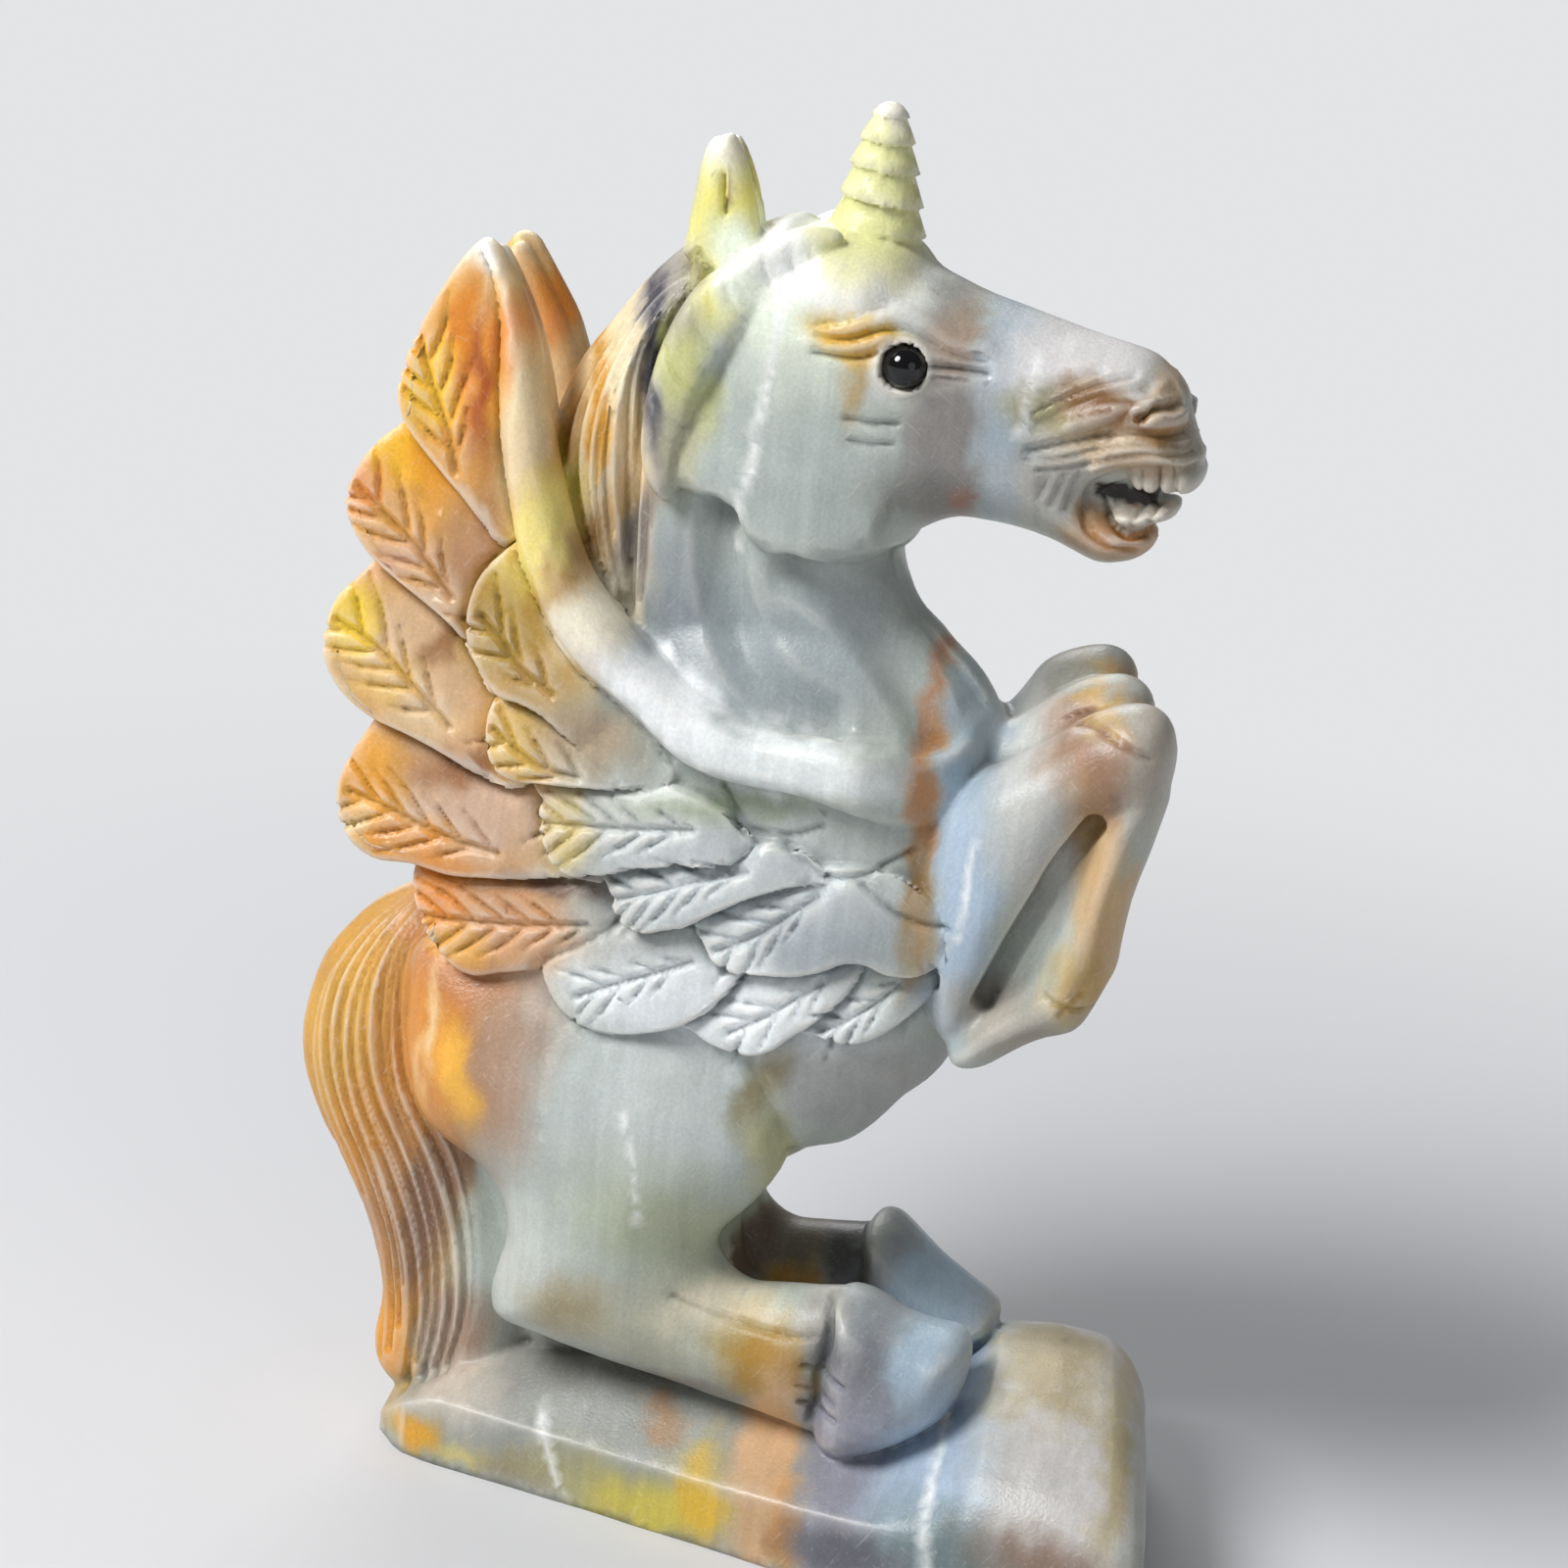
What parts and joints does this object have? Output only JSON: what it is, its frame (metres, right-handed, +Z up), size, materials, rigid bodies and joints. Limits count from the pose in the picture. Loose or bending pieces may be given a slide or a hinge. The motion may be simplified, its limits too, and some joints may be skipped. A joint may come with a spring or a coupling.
{
  "type": "winged unicorn figurine",
  "caption": "Carved banded stone ornament of a rearing winged unicorn on a rock, with black bead eyes, resting on a sawn flat base.",
  "frame": {"origin": "middle of the bounding box, on the flat sawn underside of the rock", "axes": "+X the way the horse faces, -Y its right side, +Z up"},
  "size_m": [0.1006, 0.0489, 0.1476],
  "materials": {
    "banded_stone": "satin",
    "black_bead": "gloss"
  },
  "bodies": {
    "root": {"stone_carving": "banded_stone", "eye_right": "black_bead", "eye_left": "black_bead"}
  },
  "joints": []
}
